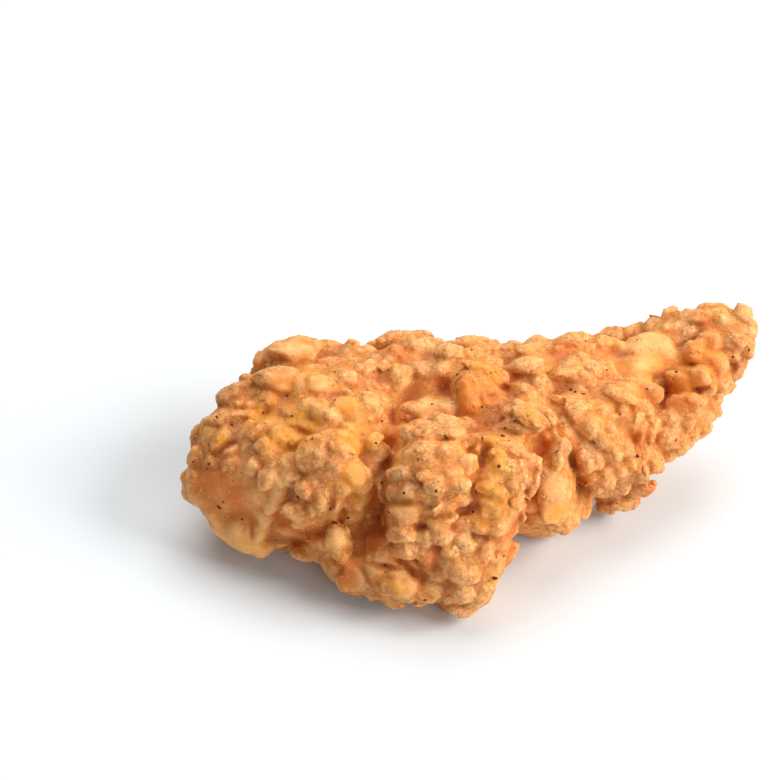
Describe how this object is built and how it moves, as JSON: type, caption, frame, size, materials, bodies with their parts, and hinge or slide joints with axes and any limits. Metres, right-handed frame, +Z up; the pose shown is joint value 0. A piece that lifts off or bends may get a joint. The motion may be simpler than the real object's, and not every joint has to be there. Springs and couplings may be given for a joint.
{
  "type": "breaded fried chicken tender",
  "caption": "Strip of fried chicken in a craggy golden crust, thick and blunt at one end, narrowing to a raised tip, resting on small flat spots.",
  "frame": {"origin": "middle of the bounding box, at the flat underside that it rests on", "axes": "+X along the strip from the thick blunt end to the raised narrow tip, -Y the near side with the low bulge, +Z up"},
  "size_m": [0.1184, 0.0608, 0.0344],
  "materials": {
    "fried_crust": "rough, slightly oily golden-brown fried batter crust"
  },
  "bodies": {
    "root": {"tender": "fried_crust"}
  },
  "joints": []
}
